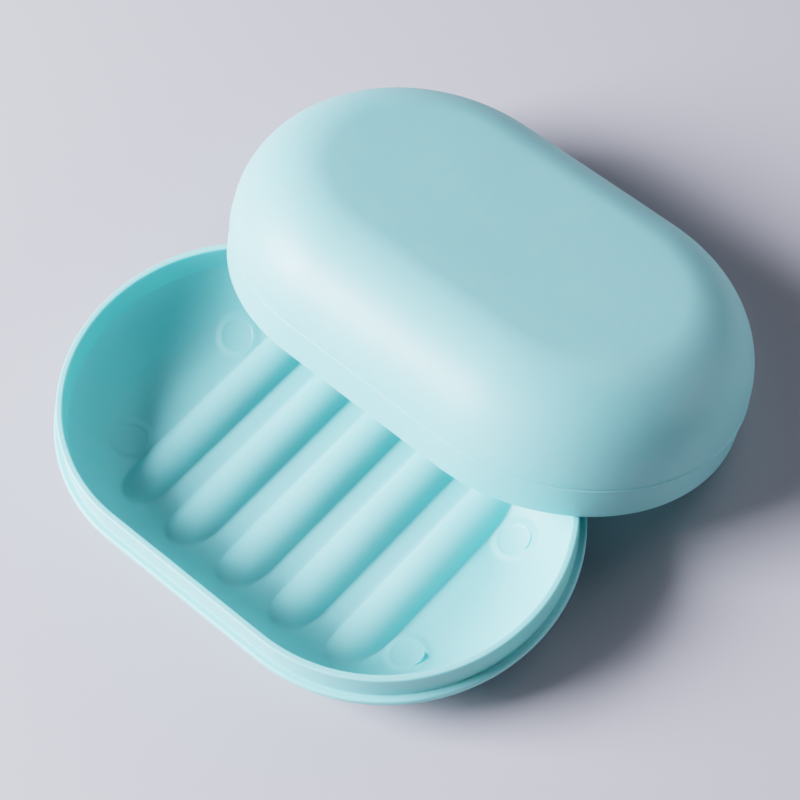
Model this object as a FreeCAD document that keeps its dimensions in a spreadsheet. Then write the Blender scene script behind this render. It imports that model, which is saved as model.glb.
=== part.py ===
import FreeCAD, Part
import math
import os

import Sketcher

# A travel soap box in two mouldings: a bowl-shaped tray with a standing lip, and a domed lid.
# The tray's flat underside lies on z = 0 with its centre at the origin and its length along X.
# The lid is off: its lower edge leans on the tray's lip and its far edge stands on the table.

# Driving dimensions, in millimetres, degrees and counts
SIZES = {
    "tray_length": 114.0,
    "tray_width": 75.0,
    "ledge_height": 12.0,
    "rim_band": 1.2,
    "rim_round": 0.5,
    "lip_height": 6.1,
    "lip_wall": 1.4,
    "lip_round": 0.35,
    "crease_round": 0.7,
    "floor_wall": 1.3,
    "floor_width": 37.5,
    "foot_width": 34.0,
    "rib_count": 5,
    "rib_pitch": 13.92,
    "rib_width": 9.4,
    "rib_height": 2.7,
    "pad_diameter": 7.0,
    "pad_rise": 0.4,
    "pad_root": 0.5,
    "pad_inset": 11.0,
    "pad_angle": 42.0,
    "lid_wall": 1.3,
    "lid_height": 25.7,
    "skirt_margin": 1.4,
    "shoulder_margin": 0.7,
    "skirt_round": 0.3,
    "bead_width": 0.5,
    "bead_rise": 0.2,
    "fit_clearance": 0.2,
    "lean_gap": 0.1,
    "lean_along": 3.0,
    "lean_overlap": 28.4,
    "lean_yaw": -1.1,
}

# Formulas that several pieces share, in the words of the sheet
HALF_STRAIGHT = "(Sizes.tray_length - Sizes.tray_width) / 2"
HALF_WIDTH = "Sizes.tray_width / 2"
LEDGE_WIDTH = "Sizes.lid_wall + Sizes.fit_clearance"
SKIRT_HEIGHT = "Sizes.lip_height + Sizes.skirt_margin"
RIB_RADIUS = "(Sizes.rib_width ^ 2 / 4 + Sizes.rib_height ^ 2) / (2 * Sizes.rib_height)"
BEAD_RADIUS = "(Sizes.bead_width ^ 2 / 4 + Sizes.bead_rise ^ 2) / (2 * Sizes.bead_rise)"

# Turns in degrees: from upright to level, and round one end of the outline
QUARTER_TURN = 90
HALF_TURN = 180
# Share of a wall that a rounded edge may take
ROUND_SHARE = 0.45
# Distance below which two points count as one
SAME_POINT = 1e-4
# Points round an outline, and rounds of correction, when the lid's rest is worked out
LOOP_POINTS = 1440
LEAN_ROUNDS = 12
# First guess at the way that the leaning lid faces
LEAN_GUESS = FreeCAD.Vector(0, 0.3, 1)

LENGTHWISE = FreeCAD.Vector(1, 0, 0)
UP = FreeCAD.Vector(0, 0, 1)

# Sketch numbers of the points on an edge, and of the level and upright axes
START, FINISH, CENTRE = range(1, 4)
LEVEL_AXIS, UPRIGHT_AXIS = -1, -2


def make_sheet(doc):
    """Put every driving dimension into the sheet under its own name."""
    sheet = doc.addObject("Spreadsheet::Sheet", "Sizes")
    for row, (name, value) in enumerate(SIZES.items(), 1):
        sheet.set(f"A{row}", name)
        sheet.set(f"B{row}", str(value))
        sheet.setAlias(f"B{row}", name)
    doc.recompute()
    return sheet


class Layout:
    """Lengths that follow from the sheet, for first positions, edge picking and the lid's rest."""

    def __init__(self, sheet):
        value = {name: float(sheet.get(name)) for name in SIZES}
        self.value = value
        self.half_straight = (value["tray_length"] - value["tray_width"]) / 2
        self.half_width = value["tray_width"] / 2
        self.lip_outer = self.half_width - value["lid_wall"] - value["fit_clearance"]
        self.lip_inner = self.lip_outer - value["lip_wall"]
        self.lip_top = value["ledge_height"] + value["lip_height"]
        self.rim_low = value["ledge_height"] - value["rim_band"]
        self.lid_inner = self.half_width - value["lid_wall"]
        self.skirt_height = value["lip_height"] + value["skirt_margin"]

    def plan_offset(self, point):
        """Distance of a point, seen from above, from the straight spine of the outline."""
        overhang = max(abs(point.x) - self.half_straight, 0.0)
        return math.hypot(overhang, point.y)


def bowl_radius(run, rise):
    """Radius of the arc that leaves a level line and climbs by rise over run."""
    return (run ** 2 + rise ** 2) / (2 * rise)


def start_sketch(body, name, role):
    """Start a sketch on one of the body's own origin planes."""
    plane = next(feature for feature in body.Origin.OriginFeatures if feature.Role == role)
    sketch = body.newObject("Sketcher::SketchObject", name)
    sketch.AttachmentSupport = [(plane, "")]
    sketch.MapMode = "FlatFace"
    return sketch


def minor_arc(centre, start, finish):
    """The shorter arc about a centre between two points."""
    circle = Part.Circle(centre, UP, (start - centre).Length)
    first = circle.parameter(start)
    last = circle.parameter(finish)
    if (last - first) % (2 * math.pi) > math.pi:
        first, last = last, first
    return Part.ArcOfCircle(circle, first, last)


class Outline:
    """A closed chain of level lines, upright lines and arcs in a sketch, sized by the sheet."""

    def __init__(self, sketch, corners, centres):
        self.sketch = sketch
        self.corners = {name: FreeCAD.Vector(*corner) for name, corner in corners.items()}
        self.edges = {}
        names = list(corners)
        pairs = list(zip(names, names[1:] + names[:1]))
        for name, following in pairs:
            self.add_edge(name, self.corners[name], self.corners[following], centres.get(name))
        for name, following in pairs:
            self.join("Coincident", name, following, following, following)

    def add_edge(self, name, start, finish, centre):
        if centre:
            self.edges[name] = self.sketch.addGeometry(minor_arc(FreeCAD.Vector(*centre), start, finish))
            return
        self.edges[name] = self.sketch.addGeometry(Part.LineSegment(start, finish))
        direction = "Horizontal" if math.isclose(start.y, finish.y) else "Vertical"
        self.sketch.addConstraint(Sketcher.Constraint(direction, self.edges[name]))

    def end(self, edge, corner):
        """Sketch address of the end of an edge that lies at a corner."""
        number = self.edges[edge]
        at_start = self.sketch.getPoint(number, START).isEqual(self.corners[corner], SAME_POINT)
        return number, START if at_start else FINISH

    def join(self, kind, edge, corner, other_edge, other_corner):
        """Relate two ends of edges, each named by its edge and its corner."""
        first = self.end(edge, corner)
        second = self.end(other_edge, other_corner)
        self.sketch.addConstraint(Sketcher.Constraint(kind, *first, *second))

    def centre_on(self, kind, arc, corner):
        """Put an arc's centre level with, or straight above, one of the arc's ends."""
        number, end = self.end(arc, corner)
        self.sketch.addConstraint(Sketcher.Constraint(kind, number, CENTRE, number, end))

    def same_centre(self, arc, other_arc):
        centres = (self.edges[arc], CENTRE, self.edges[other_arc], CENTRE)
        self.sketch.addConstraint(Sketcher.Constraint("Coincident", *centres))

    def on_axis(self, edge, corner, axis):
        self.sketch.addConstraint(Sketcher.Constraint("PointOnObject", *self.end(edge, corner), axis))

    def bind(self, constraint, expression):
        number = self.sketch.addConstraint(constraint)
        self.sketch.setExpression(f"Constraints[{number}]", expression)

    def length(self, edge, expression):
        now = self.sketch.Geometry[self.edges[edge]].length()
        self.bind(Sketcher.Constraint("Distance", self.edges[edge], now), expression)

    def radius(self, arc, expression):
        now = self.sketch.Geometry[self.edges[arc]].Radius
        self.bind(Sketcher.Constraint("Radius", self.edges[arc], now), expression)

    def reach(self, corner, expression):
        now = self.corners[corner].x
        self.bind(Sketcher.Constraint("DistanceX", *self.end(corner, corner), now), expression)

    def height(self, corner, expression):
        now = self.corners[corner].y
        self.bind(Sketcher.Constraint("DistanceY", *self.end(corner, corner), now), expression)


def shell_profile(sketch, layout):
    """Half section of the tray: flat foot, bowl, rim, ledge, standing lip and floor."""
    value = layout.value
    foot = value["foot_width"] / 2
    floor = value["floor_width"] / 2
    ledge = value["ledge_height"]
    wall = value["floor_wall"]
    corners = {
        "foot": (0, 0),
        "bowl_outside": (foot, 0),
        "rim": (layout.half_width, layout.rim_low),
        "ledge": (layout.half_width, ledge),
        "lip_outside": (layout.lip_outer, ledge),
        "lip_top": (layout.lip_outer, layout.lip_top),
        "lip_inside": (layout.lip_inner, layout.lip_top),
        "bowl_inside": (layout.lip_inner, ledge),
        "floor": (floor, wall),
        "middle": (0, wall),
    }
    outside_radius = bowl_radius(layout.half_width - foot, layout.rim_low)
    inside_radius = bowl_radius(layout.lip_inner - floor, ledge - wall)
    centres = {
        "bowl_outside": (foot, outside_radius),
        "bowl_inside": (floor, wall + inside_radius),
    }
    outline = Outline(sketch, corners, centres)
    outline.on_axis("foot", "foot", LEVEL_AXIS)
    outline.on_axis("middle", "middle", UPRIGHT_AXIS)
    outline.length("foot", "Sizes.foot_width / 2")
    outline.centre_on("Vertical", "bowl_outside", "bowl_outside")
    outline.length("rim", "Sizes.rim_band")
    outline.reach("ledge", HALF_WIDTH)
    outline.height("ledge", "Sizes.ledge_height")
    outline.length("ledge", LEDGE_WIDTH)
    outline.length("lip_outside", "Sizes.lip_height")
    outline.length("lip_top", "Sizes.lip_wall")
    outline.length("lip_inside", "Sizes.lip_height")
    outline.centre_on("Vertical", "bowl_inside", "floor")
    outline.length("floor", "Sizes.floor_width / 2")
    outline.length("middle", "Sizes.floor_wall")


def rib_limit_profile(sketch, layout):
    """Half section of the space that the ribs may fill: the bowl, to the middle of its wall."""
    value = layout.value
    floor = value["floor_width"] / 2
    ledge = value["ledge_height"]
    low = value["floor_wall"] / 2
    corners = {
        "bottom": (0, low),
        "bowl": (floor, low),
        "top": (layout.lip_outer, ledge),
        "middle": (0, ledge),
    }
    radius = bowl_radius(layout.lip_outer - floor, ledge - low)
    outline = Outline(sketch, corners, {"bowl": (floor, low + radius)})
    outline.on_axis("middle", "middle", UPRIGHT_AXIS)
    outline.height("bottom", "Sizes.floor_wall / 2")
    outline.length("bottom", "Sizes.floor_width / 2")
    outline.centre_on("Vertical", "bowl", "bowl")
    outline.length("top", f"{HALF_WIDTH} - ({LEDGE_WIDTH})")
    outline.height("top", "Sizes.ledge_height")


def lid_profile(sketch, layout):
    """Half section of the lid: skirt with its bead, quarter-round shoulder and flat top."""
    value = layout.value
    skirt = layout.skirt_height
    top = value["lid_height"]
    wall = value["lid_wall"]
    shoulder_low = skirt + value["shoulder_margin"]
    shoulder = layout.half_width - (top - shoulder_low)
    bead_low = skirt - value["bead_width"]
    bead_radius = bowl_radius(value["bead_width"] / 2, value["bead_rise"])
    corners = {
        "edge": (layout.lid_inner, 0),
        "skirt": (layout.half_width, 0),
        "bead": (layout.half_width, bead_low),
        "wall": (layout.half_width, skirt),
        "shoulder": (layout.half_width, shoulder_low),
        "top": (shoulder, top),
        "middle": (0, top),
        "ceiling": (0, top - wall),
        "shoulder_inside": (shoulder, top - wall),
        "skirt_inside": (layout.lid_inner, shoulder_low),
    }
    bead_centre = layout.half_width + value["bead_rise"] - bead_radius
    centres = {
        "bead": (bead_centre, skirt - value["bead_width"] / 2),
        "shoulder": (shoulder, shoulder_low),
        "shoulder_inside": (shoulder, shoulder_low),
    }
    outline = Outline(sketch, corners, centres)
    outline.on_axis("edge", "edge", LEVEL_AXIS)
    outline.on_axis("middle", "middle", UPRIGHT_AXIS)
    outline.length("edge", "Sizes.lid_wall")
    outline.reach("skirt", HALF_WIDTH)
    outline.length("skirt", f"{SKIRT_HEIGHT} - Sizes.bead_width")
    outline.height("wall", SKIRT_HEIGHT)
    outline.join("Vertical", "bead", "bead", "bead", "wall")
    outline.radius("bead", BEAD_RADIUS)
    outline.length("wall", "Sizes.shoulder_margin")
    outline.centre_on("Horizontal", "shoulder", "shoulder")
    outline.centre_on("Vertical", "shoulder", "top")
    outline.height("top", "Sizes.lid_height")
    outline.same_centre("shoulder_inside", "shoulder")
    outline.centre_on("Vertical", "shoulder_inside", "shoulder_inside")
    outline.centre_on("Horizontal", "shoulder_inside", "skirt_inside")


def mirror_feature(body, name, original, role):
    """Repeat a feature on the other side of one of the body's own origin planes."""
    mirrored = body.newObject("PartDesign::Mirrored", name)
    mirrored.Originals = [original]
    mirrored.MirrorPlane = (next(part for part in body.Origin.OriginFeatures if part.Role == role), [""])
    body.Tip = mirrored


def stadium_body(doc, label, draw_profile, layout):
    """Carry a half section along both straight sides and round both half-circle ends."""
    body = doc.addObject("PartDesign::Body", label)
    side_sketch = start_sketch(body, f"{label}_side_sketch", "YZ_Plane")
    draw_profile(side_sketch, layout)
    side = body.newObject("PartDesign::Pad", f"{label}_side")
    side.Profile = side_sketch
    side.SideType = "Symmetric"
    side.setExpression("Length", f"2 * {HALF_STRAIGHT}")
    mirror_feature(body, f"{label}_far_side", side, "XZ_Plane")
    end_sketch = start_sketch(body, f"{label}_end_sketch", "XZ_Plane")
    end_sketch.setExpression("AttachmentOffset.Base.x", HALF_STRAIGHT)
    draw_profile(end_sketch, layout)
    end = body.newObject("PartDesign::Revolution", f"{label}_end")
    end.Profile = end_sketch
    end.ReferenceAxis = (end_sketch, ["V_Axis"])
    end.Angle = HALF_TURN
    end.Midplane = True
    mirror_feature(body, f"{label}_other_end", end, "YZ_Plane")
    doc.recompute()
    return body


def round_edges(doc, body, name, rings, layout, expression):
    """Round every edge that runs round the outline at one of the given offsets and heights."""
    def on_ring(point):
        offset = layout.plan_offset(point)
        return any(abs(offset - ring) + abs(point.z - height) < SAME_POINT for ring, height in rings)

    base = body.Tip
    numbered = enumerate(base.Shape.Edges, 1)
    picked = [f"Edge{number}" for number, edge in numbered if all(map(on_ring, edge.discretize(3)))]
    fillet = body.newObject("PartDesign::Fillet", name)
    fillet.Base = (base, picked)
    fillet.setExpression("Radius", expression)
    body.Tip = fillet
    doc.recompute()


def make_shell(doc, layout):
    """The tray's bowl and lip, without what stands on its floor."""
    shell = stadium_body(doc, "tray_shell", shell_profile, layout)
    ledge = layout.value["ledge_height"]
    crease = [(layout.lip_inner, ledge)]
    round_edges(doc, shell, "crease", crease, layout, "Sizes.crease_round")
    lip_edges = [(layout.lip_outer, layout.lip_top), (layout.lip_inner, layout.lip_top)]
    lip_limit = f"min(Sizes.lip_round; {ROUND_SHARE} * Sizes.lip_wall)"
    round_edges(doc, shell, "lip_edges", lip_edges, layout, lip_limit)
    rim_limit = f"min(Sizes.rim_round; {ROUND_SHARE} * Sizes.rim_band; {ROUND_SHARE} * ({LEDGE_WIDTH}))"
    round_edges(doc, shell, "rim_edge", [(layout.half_width, ledge)], layout, rim_limit)
    return shell


def make_ribs(doc, layout):
    """Half-round ribs across the floor, level on top, that run into the curve of the bowl."""
    limit = stadium_body(doc, "rib_limit", rib_limit_profile, layout)
    ribs = []
    for index in range(round(layout.value["rib_count"])):
        bar = doc.addObject("Part::Cylinder", f"rib_bar_{index + 1}")
        bar.setExpression("Radius", RIB_RADIUS)
        bar.setExpression("Height", "Sizes.tray_width")
        bar.Placement.Rotation = FreeCAD.Rotation(LENGTHWISE, QUARTER_TURN)
        bar.setExpression("Placement.Base.x", f"Sizes.rib_pitch * ({index} - (Sizes.rib_count - 1) / 2)")
        bar.setExpression("Placement.Base.y", HALF_WIDTH)
        bar.setExpression("Placement.Base.z", f"Sizes.floor_wall + Sizes.rib_height - ({RIB_RADIUS})")
        rib = doc.addObject("Part::Common", f"rib_{index + 1}")
        rib.Base = bar
        rib.Tool = limit
        ribs.append(rib)
    return ribs


def pad_placement(layout, along, across):
    """Place a pad square to the bowl; along and across are signs that choose its corner."""
    value = layout.value
    floor = value["floor_width"] / 2
    radius = bowl_radius(layout.lip_inner - floor, value["ledge_height"] - value["floor_wall"])
    reach = layout.lip_inner - value["pad_inset"]
    slope = math.asin(max(reach - floor, 0.0) / radius)
    turn = math.radians(value["pad_angle"])
    outward = FreeCAD.Vector(along * math.cos(turn), across * math.sin(turn), 0)
    seat = outward * reach
    seat.x += along * layout.half_straight
    seat.z = value["floor_wall"] + radius * (1 - math.cos(slope))
    facing = UP * math.cos(slope) - outward * math.sin(slope)
    return FreeCAD.Placement(seat - facing * value["pad_root"], FreeCAD.Rotation(UP, facing))


def make_pads(doc, layout):
    """Four low round pads where the floor starts to climb towards the corners."""
    pads = []
    for along in (-1, 1):
        for across in (-1, 1):
            pad = doc.addObject("Part::Cylinder", f"pad_{len(pads) + 1}")
            pad.setExpression("Radius", "Sizes.pad_diameter / 2")
            pad.setExpression("Height", "Sizes.pad_root + Sizes.pad_rise")
            pad.Placement = pad_placement(layout, along, across)
            pads.append(pad)
    return pads


def make_base_tray(doc, layout):
    """The tray as one moulding: shell, ribs and pads in one solid."""
    tray = doc.addObject("Part::MultiFuse", "base_tray")
    tray.Shapes = [make_shell(doc, layout)] + make_ribs(doc, layout) + make_pads(doc, layout)
    tray.Refine = True
    return tray


def stadium_loop(radius, half_straight):
    """Points round a stadium outline on the level plane."""
    loop = []
    for step in range(LOOP_POINTS):
        turn = 2 * math.pi * (step + 0.5) / LOOP_POINTS
        x = radius * math.cos(turn)
        loop.append(FreeCAD.Vector(x + math.copysign(half_straight, x), radius * math.sin(turn), 0))
    return loop


def lip_crossings(loop, layout):
    """The leftmost and rightmost points where a loop passes over the lip's outer face."""
    crossings = []
    for here, ahead in zip(loop, loop[1:] + loop[:1]):
        gap_here = layout.plan_offset(here) - layout.lip_outer
        gap_ahead = layout.plan_offset(ahead) - layout.lip_outer
        if gap_here * gap_ahead < 0:
            crossings.append(here + (ahead - here) * (gap_here / (gap_here - gap_ahead)))
    crossings.sort(key=lambda point: point.x)
    return crossings[0], crossings[-1]


def lean_placement(layout):
    """Rest the lid's lower edge on the lip at two crossings and its far edge on the table."""
    value = layout.value
    inner = stadium_loop(layout.lid_inner, layout.half_straight)
    outer = stadium_loop(layout.half_width, layout.half_straight)
    heading = FreeCAD.Rotation(UP, value["lean_yaw"]).multVec(LENGTHWISE)
    rest_height = layout.lip_top + value["lean_gap"]
    facing = LEAN_GUESS
    placement = FreeCAD.Placement()
    across = value["tray_width"] - value["lean_overlap"]
    placement.Base = FreeCAD.Vector(value["lean_along"], across, rest_height)
    for _ in range(LEAN_ROUNDS):
        placement.Rotation = FreeCAD.Rotation(heading, FreeCAD.Vector(), facing, "ZXY")
        left, right = lip_crossings([placement.multVec(point) for point in inner], layout)
        table = min((placement.multVec(point) for point in outer), key=lambda point: point.z)
        left.z = rest_height
        right.z = rest_height
        table.z = 0
        facing = (right - left).cross(table - left)
        from_left = placement.Base - left
        rise = -(facing.x * from_left.x + facing.y * from_left.y) / facing.z
        placement.Base = FreeCAD.Vector(placement.Base.x, placement.Base.y, rest_height + rise)
    return placement


def make_lid(doc, layout):
    """The domed lid, leaning where it was put down."""
    lid = stadium_body(doc, "lid", lid_profile, layout)
    rings = [(layout.half_width, 0), (layout.lid_inner, 0)]
    limit = f"min(Sizes.skirt_round; {ROUND_SHARE} * Sizes.lid_wall)"
    round_edges(doc, lid, "skirt_edges", rings, layout, limit)
    lid.Placement = lean_placement(layout)
    return lid


def check_document(doc, pieces):
    """Stop if anything failed to build, or if the pieces run into each other."""
    for item in doc.Objects:
        if "Invalid" in item.State or "Error" in item.State:
            raise RuntimeError(f"{item.Label} did not build: {item.State}")
    for piece in pieces:
        if piece.Shape.isNull() or not piece.Shape.isValid() or len(piece.Shape.Solids) != 1:
            raise RuntimeError(f"{piece.Label} is not one sound solid")
    first, second = pieces
    gap = first.Shape.distToShape(second.Shape)[0]
    if gap <= 0:
        raise RuntimeError(f"{first.Label} and {second.Label} overlap")
    print(f"gap between {first.Label} and {second.Label}: {gap:.3f} mm")


def write_pieces(pieces):
    os.makedirs("parts", exist_ok=True)
    for piece in pieces:
        box = piece.Shape.optimalBoundingBox()
        print(f"{piece.Label}: volume {piece.Shape.Volume:.0f} mm3, {box.XLength:.2f} x {box.YLength:.2f}"
              f" x {box.ZLength:.2f} mm, z from {box.ZMin:.3f} mm")
        piece.Shape.exportStep(f"parts/{piece.Label}.step")


def main():
    doc = FreeCAD.newDocument("travel_soap_box")
    layout = Layout(make_sheet(doc))
    pieces = [make_base_tray(doc, layout), make_lid(doc, layout)]
    doc.recompute()
    check_document(doc, pieces)
    write_pieces(pieces)


main()
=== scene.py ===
import math

import bmesh
import bpy
import numpy as np
from mathutils import Matrix, Vector
from mathutils.geometry import delaunay_2d_cdt


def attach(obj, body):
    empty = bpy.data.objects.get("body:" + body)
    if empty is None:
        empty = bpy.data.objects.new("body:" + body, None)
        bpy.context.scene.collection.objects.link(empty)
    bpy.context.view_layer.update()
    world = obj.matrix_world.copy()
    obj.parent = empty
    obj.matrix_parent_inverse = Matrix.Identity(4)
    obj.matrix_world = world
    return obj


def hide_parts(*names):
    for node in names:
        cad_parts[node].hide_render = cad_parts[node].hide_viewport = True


# A travel soap box in mint plastic: a ribbed tray with a standing lip, and a domed lid that leans on it

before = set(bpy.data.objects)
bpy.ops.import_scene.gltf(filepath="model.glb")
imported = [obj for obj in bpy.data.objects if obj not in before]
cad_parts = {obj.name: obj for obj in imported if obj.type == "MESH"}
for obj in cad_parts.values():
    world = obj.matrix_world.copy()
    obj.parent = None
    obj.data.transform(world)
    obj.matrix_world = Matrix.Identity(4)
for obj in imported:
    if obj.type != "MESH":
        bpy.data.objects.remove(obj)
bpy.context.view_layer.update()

MM = 0.001

# Outline that both mouldings share
HALF_STRAIGHT = 19.5 * MM
HALF_WIDTH = 37.5 * MM

# Tray section
LEDGE_HEIGHT = 12.0 * MM
RIM_BAND = 1.2 * MM
RIM_ROUND = 0.5 * MM
LEDGE_WIDTH = 1.5 * MM
LEDGE_ROUND = 0.25 * MM
LIP_HEIGHT = 6.1 * MM
LIP_WALL = 1.4 * MM
LIP_ROUND = 0.35 * MM
CREASE_ROUND = 0.7 * MM
FLOOR_WALL = 1.3 * MM
FLOOR_HALF = 18.75 * MM
FOOT_HALF = 17.0 * MM
LIP_OUTER = HALF_WIDTH - LEDGE_WIDTH
LIP_INNER = LIP_OUTER - LIP_WALL
LIP_TOP = LEDGE_HEIGHT + LIP_HEIGHT

# Ribs across the floor
RIB_COUNT = 5
RIB_PITCH = 13.92 * MM
RIB_WIDTH = 9.4 * MM
RIB_HEIGHT = 2.7 * MM
RIB_BLEND = 0.25 * MM

# Pin marks on the floor: a soft boss with a shallow round sink in its top
PAD_INSET = 11.0 * MM
PAD_TURN = math.radians(42)
PAD_FOOT = 5.0 * MM
PAD_SHOULDER = 3.4 * MM
PAD_SINK = 3.15 * MM
PAD_RISE = 0.28 * MM
PAD_SINK_DEPTH = 0.04 * MM
PAD_EDGE = 0.3 * MM
FLASH_WIDTH = 0.2 * MM

# Lid section
LID_WALL = 1.3 * MM
LID_HEIGHT = 25.7 * MM
SKIRT_HEIGHT = 7.5 * MM
SKIRT_ROUND = 0.3 * MM
BEAD_WIDTH = 0.4 * MM
BEAD_RISE = 0.19 * MM
BEAD_GROOVE = 0.06 * MM
GROOVE_RUN = 4 * BEAD_GROOVE
SHOULDER_MARGIN = 0.7 * MM
SHOULDER_LOW = SKIRT_HEIGHT + SHOULDER_MARGIN
SHOULDER = LID_HEIGHT - SHOULDER_LOW

# Fineness of the meshes
END_STEPS = 96
SIDE_STEPS = 30
ARC_STEP = math.radians(3)
SMALL_ARC_STEPS = 6
SUPPORT = 0.05 * MM
FLOOR_JOIN = 29.5 * MM
FLOOR_STEP = 0.6 * MM
RIB_STEPS = 22
GAP_STEPS = 6
PAD_SPOKES = 64
PAD_CLEARANCE = FLOOR_STEP / 3
MERGE_DISTANCE = SUPPORT / 100

# Where rings of vertices lie, as shares of the stretch that they divide
FLAT_SHARES = (0.1, 0.4, 0.7)
SINK_SHARES = (0.25, 0.5, 0.75)
FLASH_SHARES = (-1.5, -1, -0.7, -0.4, -0.2, 0, 0.2, 0.4, 0.7, 1, 1.5)
FLANK_SHARES = (0.2, 0.4, 0.6, 0.8, 1)

# Camera, fitted to the outlines in the photograph
IMAGE_SIDE = 800
FOCAL_PIXELS = 2182.64
SENSOR_WIDTH = 36.0
CLIP_START = 10 * MM
CAMERA_TARGET = Vector((-1.93, 26.421, 0.0)) * MM
CAMERA_DISTANCE = 444.576 * MM
CAMERA_AZIMUTH = math.radians(45.87)
CAMERA_ELEVATION = math.radians(58.873)
CAMERA_ROLL = math.radians(-5.458)

# Studio lights: name, turn seen from above and rise in degrees, width and height in metres, watts
LIGHTS = [
    ("key", 227, 32, 0.46, 0.46, 20.2),
    ("back", 87, 45, 0.60, 0.60, 1.3),
    ("side", 267, 45, 0.60, 0.60, 0.4),
    ("low", 42, 17, 0.60, 0.30, 1.1),
]
LIGHT_DISTANCE = 0.9
LIGHT_TINT = (1.0, 1.0, 1.18)
FILL_COLOUR = (0.95, 0.98, 1.0, 1.0)
FILL_STRENGTH = 0.01

# Ground: half its side in metres, and its finish
GROUND_HALF = 3.0
GROUND_COLOUR = (0.48, 0.48, 0.49, 1.0)
GROUND_ROUGHNESS = 0.9

# Mint plastic: tones that the surface drifts between, grain and waviness, gloss and translucency
PLASTIC_PALE = (0.356, 0.745, 0.740, 1.0)
PLASTIC_DEEP = (0.341, 0.725, 0.725, 1.0)
DRIFT_SCALE = 60.0
DRIFT_DETAIL = 3.0
DRIFT_LOW = 0.3
DRIFT_HIGH = 0.7
GRAIN_SCALE = 5000.0
GRAIN_DETAIL = 2.0
GRAIN_DEPTH = 0.006 * MM
WAVE_SCALE = 110.0
WAVE_DETAIL = 1.0
WAVE_DEPTH = 0.012 * MM
ROUGHNESS_LOW = 0.42
ROUGHNESS_HIGH = 0.52
PLASTIC_IOR = 1.49
PLASTIC_SPECULAR = 0.7
GLOW_WEIGHT = 0.6
GLOW_RADIUS = (0.55, 1.0, 0.9)
GLOW_SCALE = 1.6 * MM


def arc(centre, radius, start, finish, steps=None):
    """Points on an arc in the section plane, from one angle to another."""
    count = steps or max(2, math.ceil(abs(finish - start) / ARC_STEP))
    points = []
    for step in range(count + 1):
        angle = start + (finish - start) * step / count
        points.append((centre[0] + radius * math.cos(angle), centre[1] + radius * math.sin(angle)))
    return points


def rounded_corner(before, at, after, radius):
    """A corner of the section rounded by an arc, with a supporting point on each side."""
    first = (Vector(before) - Vector(at)).normalized()
    second = (Vector(after) - Vector(at)).normalized()
    half = first.angle(second) / 2
    reach = radius / math.tan(half)
    middle = Vector(at) + (first + second).normalized() * (radius / math.sin(half))
    start = Vector(at) + first * reach - middle
    swing = start.angle_signed(Vector(at) + second * reach - middle)
    base = math.atan2(start.y, start.x)
    round_points = arc(middle, radius, base, base - swing, SMALL_ARC_STEPS)
    lead_in = Vector(at) + first * (reach + SUPPORT)
    lead_out = Vector(at) + second * (reach + SUPPORT)
    return [tuple(lead_in)] + round_points + [tuple(lead_out)]


def stadium(offset, height):
    """Points round the outline, one offset out from its straight spine."""
    points = []
    for end in (1, -1):
        for step in range(END_STEPS + 1):
            turn = math.pi * (step / END_STEPS - 0.5)
            x = end * (HALF_STRAIGHT + offset * math.cos(turn))
            points.append(Vector((x, end * offset * math.sin(turn), height)))
        for step in range(1, SIDE_STEPS):
            x = end * HALF_STRAIGHT * (1 - 2 * step / SIDE_STEPS)
            points.append(Vector((x, end * offset, height)))
    return points


def sweep(mesh, section):
    """Carry a section round the outline and return its rings of vertices."""
    rings = [[mesh.verts.new(point) for point in stadium(*place)] for place in section]
    for lower, upper in zip(rings, rings[1:]):
        for index in range(len(lower)):
            following = (index + 1) % len(lower)
            mesh.faces.new((lower[index], lower[following], upper[following], upper[index]))
    return rings


def finish_piece(mesh, name, material, matrix=Matrix.Identity(4)):
    """Turn a closed mesh into a smooth-shaded piece in its place."""
    bmesh.ops.recalc_face_normals(mesh, faces=mesh.faces)
    bmesh.ops.transform(mesh, matrix=matrix, verts=mesh.verts)
    data = bpy.data.meshes.new(name)
    mesh.to_mesh(data)
    mesh.free()
    data.shade_smooth()
    data.materials.append(material)
    piece = bpy.data.objects.new(name, data)
    bpy.context.scene.collection.objects.link(piece)
    return piece


def bowl_radius(run, rise):
    """Radius of the arc that leaves a level line and climbs by rise over run."""
    return (run ** 2 + rise ** 2) / (2 * rise)


def inside_radius():
    """Radius of the bowl's inside, from the edge of the floor to under the lip."""
    return bowl_radius(LIP_INNER - FLOOR_HALF, LEDGE_HEIGHT - FLOOR_WALL)


def bowl_height(offset):
    """Height of the bowl's inside at a distance from the spine."""
    radius = inside_radius()
    run = max(offset - FLOOR_HALF, 0.0)
    return FLOOR_WALL + radius - math.sqrt(radius ** 2 - run ** 2)


def tray_section():
    """Section of the tray from its foot, round the lip and down inside to the edge of the floor."""
    rim_low = LEDGE_HEIGHT - RIM_BAND
    outer = bowl_radius(HALF_WIDTH - FOOT_HALF, rim_low)
    climb = math.asin((HALF_WIDTH - FOOT_HALF) / outer)
    section = [(FOOT_HALF * share, 0.0) for share in FLAT_SHARES]
    section += arc((FOOT_HALF, outer), outer, -math.pi / 2, climb - math.pi / 2)
    section.append((HALF_WIDTH, rim_low + SUPPORT))
    rim = (HALF_WIDTH, LEDGE_HEIGHT)
    root = (LIP_OUTER, LEDGE_HEIGHT)
    crest = (LIP_OUTER, LIP_TOP)
    brim = (LIP_INNER, LIP_TOP)
    section += rounded_corner((HALF_WIDTH, rim_low), rim, root, RIM_ROUND)
    section += rounded_corner(rim, root, crest, LEDGE_ROUND)
    section += rounded_corner(root, crest, brim, LIP_ROUND)
    section += rounded_corner(crest, brim, (LIP_INNER, LEDGE_HEIGHT), LIP_ROUND)
    section += crease_section()
    return section


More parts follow.
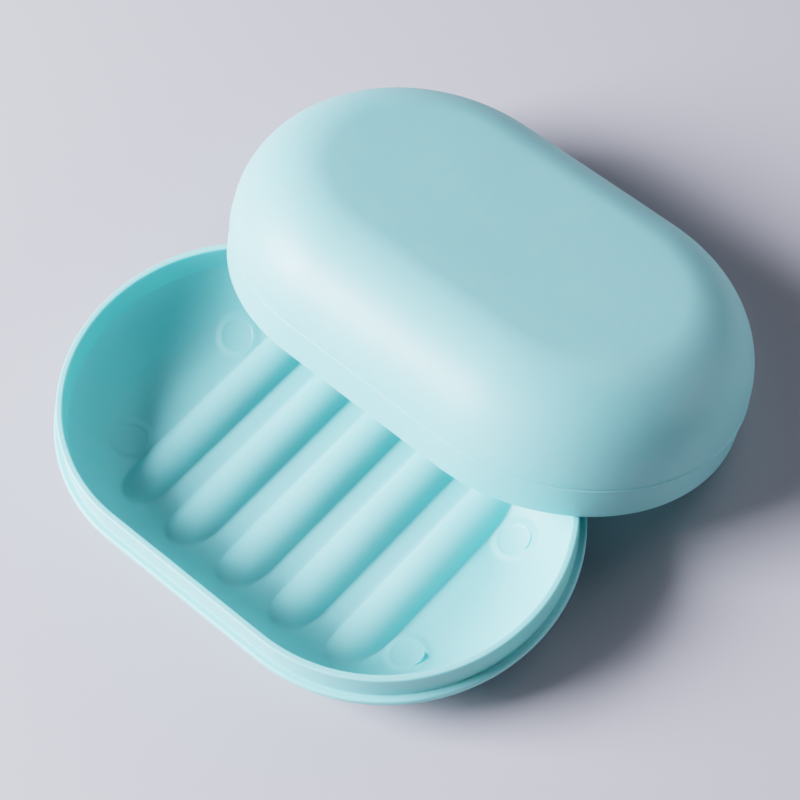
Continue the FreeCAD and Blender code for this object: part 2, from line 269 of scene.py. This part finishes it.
def crease_section():
    """The soft crease under the lip, and the bowl's inside from there to the edge of the floor."""
    radius = inside_radius()
    middle = Vector((FLOOR_HALF, FLOOR_WALL + radius))
    across = LIP_INNER - CREASE_ROUND - FLOOR_HALF
    depth = math.sqrt((radius - CREASE_ROUND) ** 2 - across ** 2)
    crease = middle + Vector((across, -depth))
    lean = math.atan2(depth, across)
    join = math.acos((FLOOR_JOIN - FLOOR_HALF) / radius)
    section = arc(crease, CREASE_ROUND, 0.0, -lean, SMALL_ARC_STEPS)
    section += arc(middle, radius, -lean, -join)[1:]
    return section


def plan_offset(x, y):
    """Distance of a point from the outline's straight spine."""
    return math.hypot(max(abs(x) - HALF_STRAIGHT, 0.0), y)


def smooth_step(share):
    """A soft climb from 0 to 1 that is level at both ends."""
    share = min(max(share, 0.0), 1.0)
    return share * share * (3 - 2 * share)


def smooth_top(first, second, blend):
    """The higher of two heights, with the crease between them rounded."""
    near = max(blend - abs(first - second), 0.0) / blend
    return max(first, second) + near * near * blend / 4


def rib_places():
    """Middles of the ribs along the tray."""
    return [(index - (RIB_COUNT - 1) / 2) * RIB_PITCH for index in range(RIB_COUNT)]


def rib_height(x):
    """Height of the level ribs above the tray's underside, below the floor between ribs."""
    radius = bowl_radius(RIB_WIDTH / 2, RIB_HEIGHT)
    nearest = min(abs(x - place) for place in rib_places())
    if nearest > radius:
        return 0.0
    return FLOOR_WALL + RIB_HEIGHT - radius + math.sqrt(radius ** 2 - nearest ** 2)


class Pad:
    """One pin mark: where it sits, and the stretch of its edge that carries a thin flash."""

    def __init__(self, along, across, flash_from, flash_to, flash_peak, flash_height):
        reach = LIP_INNER - PAD_INSET
        self.x = along * (HALF_STRAIGHT + reach * math.cos(PAD_TURN))
        self.y = across * reach * math.sin(PAD_TURN)
        self.flash_from = math.radians(flash_from)
        self.flash_to = math.radians(flash_to)
        self.flash_peak = flash_peak
        self.flash_height = flash_height * MM

    def flash(self, turn):
        """Height of the flash at an angle round the pad: it climbs to its peak and falls away."""
        share = ((turn - self.flash_from) % (2 * math.pi)) / (self.flash_to - self.flash_from)
        if share > 1:
            return 0.0
        if share < self.flash_peak:
            return self.flash_height * smooth_step(share / self.flash_peak)
        return self.flash_height * smooth_step((1 - share) / (1 - self.flash_peak))

    def rise(self, x, y):
        """How far the pad stands above the bowl at a place."""
        across = math.hypot(x - self.x, y - self.y)
        if across > PAD_FOOT:
            return 0.0
        boss = PAD_RISE * smooth_step((PAD_FOOT - across) / (PAD_FOOT - PAD_SHOULDER))
        sink = PAD_SINK_DEPTH * smooth_step((PAD_SINK - across) / PAD_EDGE + 0.5)
        ridge = max(1 - abs(across - PAD_SINK) / FLASH_WIDTH, 0.0)
        turn = math.atan2(y - self.y, x - self.x)
        return boss - sink + smooth_step(ridge) * self.flash(turn)


# Signs that choose each pad's corner, and its flash: first and last angle, share where it peaks, height
PADS = [
    Pad(1, 1, -22, 132, 0.08, 0.4),
    Pad(1, -1, -63, 50, 0.8, 0.8),
    Pad(-1, 1, 7, 82, 0.5, 0.15),
    Pad(-1, -1, 72, 142, 0.5, 0.06),
]


def floor_height(x, y):
    """Height of the tray's inside: bowl, pads and ribs."""
    pads = sum(pad.rise(x, y) for pad in PADS)
    return smooth_top(bowl_height(plan_offset(x, y)) + pads, rib_height(x), RIB_BLEND)


def floor_columns():
    """Lines across the floor: close over each rib, and exactly on its two feet."""
    columns = []
    for place in rib_places():
        for step in range(RIB_STEPS + 1):
            columns.append(place - RIB_WIDTH / 2 * math.cos(math.pi * step / RIB_STEPS))
    gap = RIB_PITCH - RIB_WIDTH
    for place in rib_places()[:-1]:
        for step in range(1, GAP_STEPS):
            columns.append(place + RIB_WIDTH / 2 + gap * step / GAP_STEPS)
    outermost = rib_places()[-1] + RIB_WIDTH / 2
    reach = HALF_STRAIGHT + FLOOR_JOIN - outermost
    for step in range(1, math.ceil(reach / FLOOR_STEP)):
        columns += [outermost + step * FLOOR_STEP, -outermost - step * FLOOR_STEP]
    return sorted(columns)


def pad_points(pad):
    """Rings of points round a pad, close together where its edge and flash are."""
    radii = [PAD_SINK * share for share in SINK_SHARES]
    radii += [PAD_SINK + FLASH_WIDTH * share for share in FLASH_SHARES]
    radii += [PAD_SHOULDER + (PAD_FOOT - PAD_SHOULDER) * share for share in FLANK_SHARES]
    points = [(pad.x, pad.y)]
    for radius in radii:
        for spoke in range(PAD_SPOKES):
            turn = 2 * math.pi * spoke / PAD_SPOKES
            points.append((pad.x + radius * math.cos(turn), pad.y + radius * math.sin(turn)))
    return points


def floor_points():
    """Plan positions of the floor's vertices inside its edge."""
    clear = FLOOR_JOIN - FLOOR_STEP / 2
    outermost = rib_places()[-1] + RIB_WIDTH / 2 + SUPPORT
    rows = np.arange(-FLOOR_JOIN, FLOOR_JOIN, FLOOR_STEP) + FLOOR_STEP / 2
    points = []
    for x in floor_columns():
        for y in rows:
            near_pad = any(math.hypot(x - pad.x, y - pad.y) < PAD_FOOT + PAD_CLEARANCE for pad in PADS)
            if plan_offset(x, y) < clear and not (near_pad and abs(x) > outermost):
                points.append((x, y))
    for pad in PADS:
        points += [(x, y) for x, y in pad_points(pad) if abs(x) > outermost]
    return points


def fill_floor(mesh, edge):
    """Close the tray with its ribbed floor, joined to a ring of vertices."""
    plan = [Vector((vert.co.x, vert.co.y)) for vert in edge]
    plan += [Vector(place) for place in floor_points()]
    border = [(index, (index + 1) % len(edge)) for index in range(len(edge))]
    places, _, faces, origins, _, _ = delaunay_2d_cdt(plan, border, [], 1, MERGE_DISTANCE)
    verts = []
    for place, origin in zip(places, origins):
        if origin and origin[0] < len(edge):
            verts.append(edge[origin[0]])
        else:
            verts.append(mesh.verts.new((place.x, place.y, floor_height(place.x, place.y))))
    for face in faces:
        mesh.faces.new([verts[index] for index in face])


def make_tray(material):
    """The tray as one closed mesh."""
    mesh = bmesh.new()
    rings = sweep(mesh, tray_section())
    mesh.faces.new(rings[0])
    fill_floor(mesh, rings[-1])
    tray = finish_piece(mesh, "tray", material)
    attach(tray, "tray")
    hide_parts("base_tray")


def lid_section():
    """Section of the lid from its flat top, down over the shoulder, under the edge and up inside."""
    flat = HALF_WIDTH - SHOULDER
    inner = HALF_WIDTH - LID_WALL
    bead_radius = bowl_radius(BEAD_WIDTH / 2, BEAD_RISE)
    bead_middle = (HALF_WIDTH + BEAD_RISE - bead_radius, SKIRT_HEIGHT - BEAD_WIDTH / 2)
    bead_half = math.asin(BEAD_WIDTH / 2 / bead_radius)
    section = [(flat * share, LID_HEIGHT) for share in FLAT_SHARES]
    section += arc((flat, SHOULDER_LOW), SHOULDER, math.pi / 2, 0.0)
    section.append((HALF_WIDTH, SKIRT_HEIGHT + GROOVE_RUN))
    section.append((HALF_WIDTH - BEAD_GROOVE, SKIRT_HEIGHT + BEAD_GROOVE))
    section += arc(bead_middle, bead_radius, bead_half, -bead_half, SMALL_ARC_STEPS)
    section.append((HALF_WIDTH, SKIRT_HEIGHT - BEAD_WIDTH - SUPPORT))
    outside = (HALF_WIDTH, 0.0)
    inside = (inner, 0.0)
    section += rounded_corner((HALF_WIDTH, SKIRT_HEIGHT), outside, inside, SKIRT_ROUND)
    section += rounded_corner(outside, inside, (inner, SKIRT_HEIGHT), SKIRT_ROUND)
    section += arc((flat, SHOULDER_LOW), SHOULDER - LID_WALL, 0.0, math.pi / 2)
    section += [(flat * share, LID_HEIGHT - LID_WALL) for share in reversed(FLAT_SHARES)]
    return section


def lean_matrix(node):
    """Where the leaning lid's own axes are, from the balance of its solid's surface."""
    mesh = node.data
    mesh.calc_loop_triangles()
    points = np.array([vert.co for vert in mesh.vertices])
    corners = points[np.array([triangle.vertices for triangle in mesh.loop_triangles])]
    centres = corners.mean(axis=1)
    edges = corners[:, 1:] - corners[:, :1]
    areas = np.linalg.norm(np.cross(edges[:, 0], edges[:, 1]), axis=1)
    middle = np.average(centres, axis=0, weights=areas)
    spread = (centres - middle).T @ ((centres - middle) * areas[:, None])
    _, axes = np.linalg.eigh(spread)
    up = Vector(axes[:, 0]) * math.copysign(1, axes[2, 0])
    along = Vector(axes[:, 2]) * math.copysign(1, axes[0, 2])
    lowest = min((points - middle) @ np.array(up))
    matrix = Matrix((along, up.cross(along), up)).transposed().to_4x4()
    matrix.translation = Vector(middle) + up * lowest
    return matrix


def make_lid(material):
    """The lid as one closed mesh, where its solid leans."""
    mesh = bmesh.new()
    rings = sweep(mesh, lid_section())
    mesh.faces.new(rings[0])
    mesh.faces.new(rings[-1])
    lid = finish_piece(mesh, "lid_shell", material, lean_matrix(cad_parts["lid"]))
    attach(lid, "lid")
    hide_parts("lid")


def new_material(name):
    """A material with one surface shader, and that shader."""
    material = bpy.data.materials.new(name)
    material.use_nodes = True
    tree = material.node_tree
    tree.nodes.clear()
    output = tree.nodes.new("ShaderNodeOutputMaterial")
    shader = tree.nodes.new("ShaderNodeBsdfPrincipled")
    tree.links.new(shader.outputs["BSDF"], output.inputs["Surface"])
    return material, shader


def noise(tree, scale, detail):
    """Noise in the piece's own space."""
    place = tree.nodes.new("ShaderNodeTexCoord")
    texture = tree.nodes.new("ShaderNodeTexNoise")
    texture.inputs["Scale"].default_value = scale
    texture.inputs["Detail"].default_value = detail
    tree.links.new(place.outputs["Object"], texture.inputs["Vector"])
    return texture


def relief(tree, texture, depth):
    """Bumps of a given depth that follow a texture."""
    bump = tree.nodes.new("ShaderNodeBump")
    bump.inputs["Distance"].default_value = depth
    tree.links.new(texture.outputs["Fac"], bump.inputs["Height"])
    return bump


def add_drift(tree, shader):
    """Colour that drifts faintly, as it does where plastic flowed into its mould."""
    drift = noise(tree, DRIFT_SCALE, DRIFT_DETAIL)
    tone = tree.nodes.new("ShaderNodeValToRGB")
    deep, pale = tone.color_ramp.elements
    deep.color = PLASTIC_DEEP
    deep.position = DRIFT_LOW
    pale.color = PLASTIC_PALE
    pale.position = DRIFT_HIGH
    tree.links.new(drift.outputs["Fac"], tone.inputs["Fac"])
    tree.links.new(tone.outputs["Color"], shader.inputs["Base Color"])


def add_grain(tree, shader):
    """A fine grain in gloss and surface, over a faint waviness."""
    grain = noise(tree, GRAIN_SCALE, GRAIN_DETAIL)
    gloss = tree.nodes.new("ShaderNodeMapRange")
    gloss.inputs["To Min"].default_value = ROUGHNESS_LOW
    gloss.inputs["To Max"].default_value = ROUGHNESS_HIGH
    tree.links.new(grain.outputs["Fac"], gloss.inputs["Value"])
    tree.links.new(gloss.outputs["Result"], shader.inputs["Roughness"])
    swell = relief(tree, noise(tree, WAVE_SCALE, WAVE_DETAIL), WAVE_DEPTH)
    pits = relief(tree, grain, GRAIN_DEPTH)
    tree.links.new(swell.outputs["Normal"], pits.inputs["Normal"])
    tree.links.new(pits.outputs["Normal"], shader.inputs["Normal"])


def moulded_plastic(name):
    """Matte, slightly translucent plastic with a fine grain and faint flow in its colour."""
    material, shader = new_material(name)
    add_drift(material.node_tree, shader)
    add_grain(material.node_tree, shader)
    shader.inputs["IOR"].default_value = PLASTIC_IOR
    shader.inputs["Specular IOR Level"].default_value = PLASTIC_SPECULAR
    shader.inputs["Subsurface Weight"].default_value = GLOW_WEIGHT
    shader.inputs["Subsurface Radius"].default_value = GLOW_RADIUS
    shader.inputs["Subsurface Scale"].default_value = GLOW_SCALE
    return material


def floor_material():
    """Plain pale ground."""
    material, shader = new_material("pale_ground")
    shader.inputs["Base Color"].default_value = GROUND_COLOUR
    shader.inputs["Roughness"].default_value = GROUND_ROUGHNESS
    return material


def make_floor():
    """A wide plain floor under the box."""
    mesh = bmesh.new()
    bmesh.ops.create_grid(mesh, x_segments=1, y_segments=1, size=GROUND_HALF)
    data = bpy.data.meshes.new("floor")
    mesh.to_mesh(data)
    mesh.free()
    data.materials.append(floor_material())
    floor = bpy.data.objects.new("floor", data)
    bpy.context.scene.collection.objects.link(floor)


def camera_axes():
    """Right, up and back directions of the camera, with its roll."""
    sin_turn, cos_turn = math.sin(CAMERA_AZIMUTH), math.cos(CAMERA_AZIMUTH)
    sin_rise, cos_rise = math.sin(CAMERA_ELEVATION), math.cos(CAMERA_ELEVATION)
    back = Vector((sin_turn * cos_rise, -cos_turn * cos_rise, sin_rise))
    level = Vector((cos_turn, sin_turn, 0.0))
    steep = back.cross(level)
    right = level * math.cos(CAMERA_ROLL) + steep * math.sin(CAMERA_ROLL)
    return right, back.cross(right), back


def make_camera():
    """The camera at the photograph's viewpoint."""
    right, up, back = camera_axes()
    data = bpy.data.cameras.new("camera")
    data.sensor_width = SENSOR_WIDTH
    data.lens = FOCAL_PIXELS / IMAGE_SIDE * SENSOR_WIDTH
    data.clip_start = CLIP_START
    camera = bpy.data.objects.new("camera", data)
    matrix = Matrix((right, up, back)).transposed().to_4x4()
    matrix.translation = CAMERA_TARGET + back * CAMERA_DISTANCE
    camera.matrix_world = matrix
    bpy.context.scene.collection.objects.link(camera)
    bpy.context.scene.camera = camera


def add_softbox(name, turn, rise, width, height, watts):
    """A soft light that faces the box; its turn goes from +X towards +Y."""
    data = bpy.data.lights.new(name, "AREA")
    data.shape = "RECTANGLE"
    data.size = width
    data.size_y = height
    data.energy = watts
    data.color = LIGHT_TINT
    turn = math.radians(turn)
    rise = math.radians(rise)
    away = Vector((math.cos(turn) * math.cos(rise), math.sin(turn) * math.cos(rise), math.sin(rise)))
    light = bpy.data.objects.new(name, data)
    light.location = CAMERA_TARGET + away * LIGHT_DISTANCE
    light.rotation_euler = away.to_track_quat("Z", "Y").to_euler()
    bpy.context.scene.collection.objects.link(light)


def make_lights():
    """A soft key from the picture's left, weak lights on the other sides and a faint even fill."""
    for light in LIGHTS:
        add_softbox(*light)
    world = bpy.data.worlds.new("studio")
    world.use_nodes = True
    background = world.node_tree.nodes["Background"]
    background.inputs["Color"].default_value = FILL_COLOUR
    background.inputs["Strength"].default_value = FILL_STRENGTH
    bpy.context.scene.world = world


def set_tone():
    """A tone curve with about the contrast of the photograph."""
    settings = bpy.context.scene.view_settings
    settings.view_transform = "Filmic"
    settings.look = "High Contrast"


make_tray(moulded_plastic("mint_plastic_tray"))
make_lid(moulded_plastic("mint_plastic_lid"))
make_floor()
make_lights()
make_camera()
set_tone()
